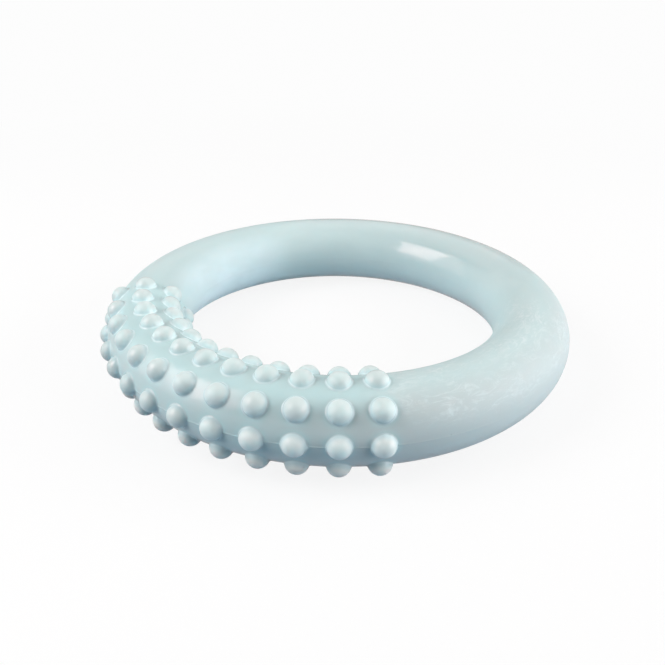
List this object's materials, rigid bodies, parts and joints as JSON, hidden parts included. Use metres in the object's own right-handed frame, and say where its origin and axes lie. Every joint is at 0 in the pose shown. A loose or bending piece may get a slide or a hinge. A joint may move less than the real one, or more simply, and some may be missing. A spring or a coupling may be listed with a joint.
{
  "type": "chew ring",
  "caption": "Round-section rubber chew ring for a puppy, smooth over most of its turn, with a field of ball-shaped massage nubs in whiter rubber on one side.",
  "frame": {"origin": "centre of the ring, where its axis crosses the plane of its parting line", "axes": "+Z along the ring's axis, -Y from the ring's centre towards the middle of the nub field"},
  "size_m": [0.1202, 0.1221, 0.0234],
  "materials": {
    "ring_rubber": "smooth satin, pale blue",
    "nub_rubber": "smooth satin, off-white"
  },
  "bodies": {
    "root": {"ring_body": "ring_rubber", "nubs_outer": "nub_rubber", "nubs_outer_upper": "nub_rubber", "nubs_top": "nub_rubber", "nubs_inner_upper": "nub_rubber", "nubs_inner": "nub_rubber", "nubs_inner_lower": "nub_rubber", "nubs_bottom": "nub_rubber", "nubs_outer_lower": "nub_rubber"}
  },
  "joints": []
}
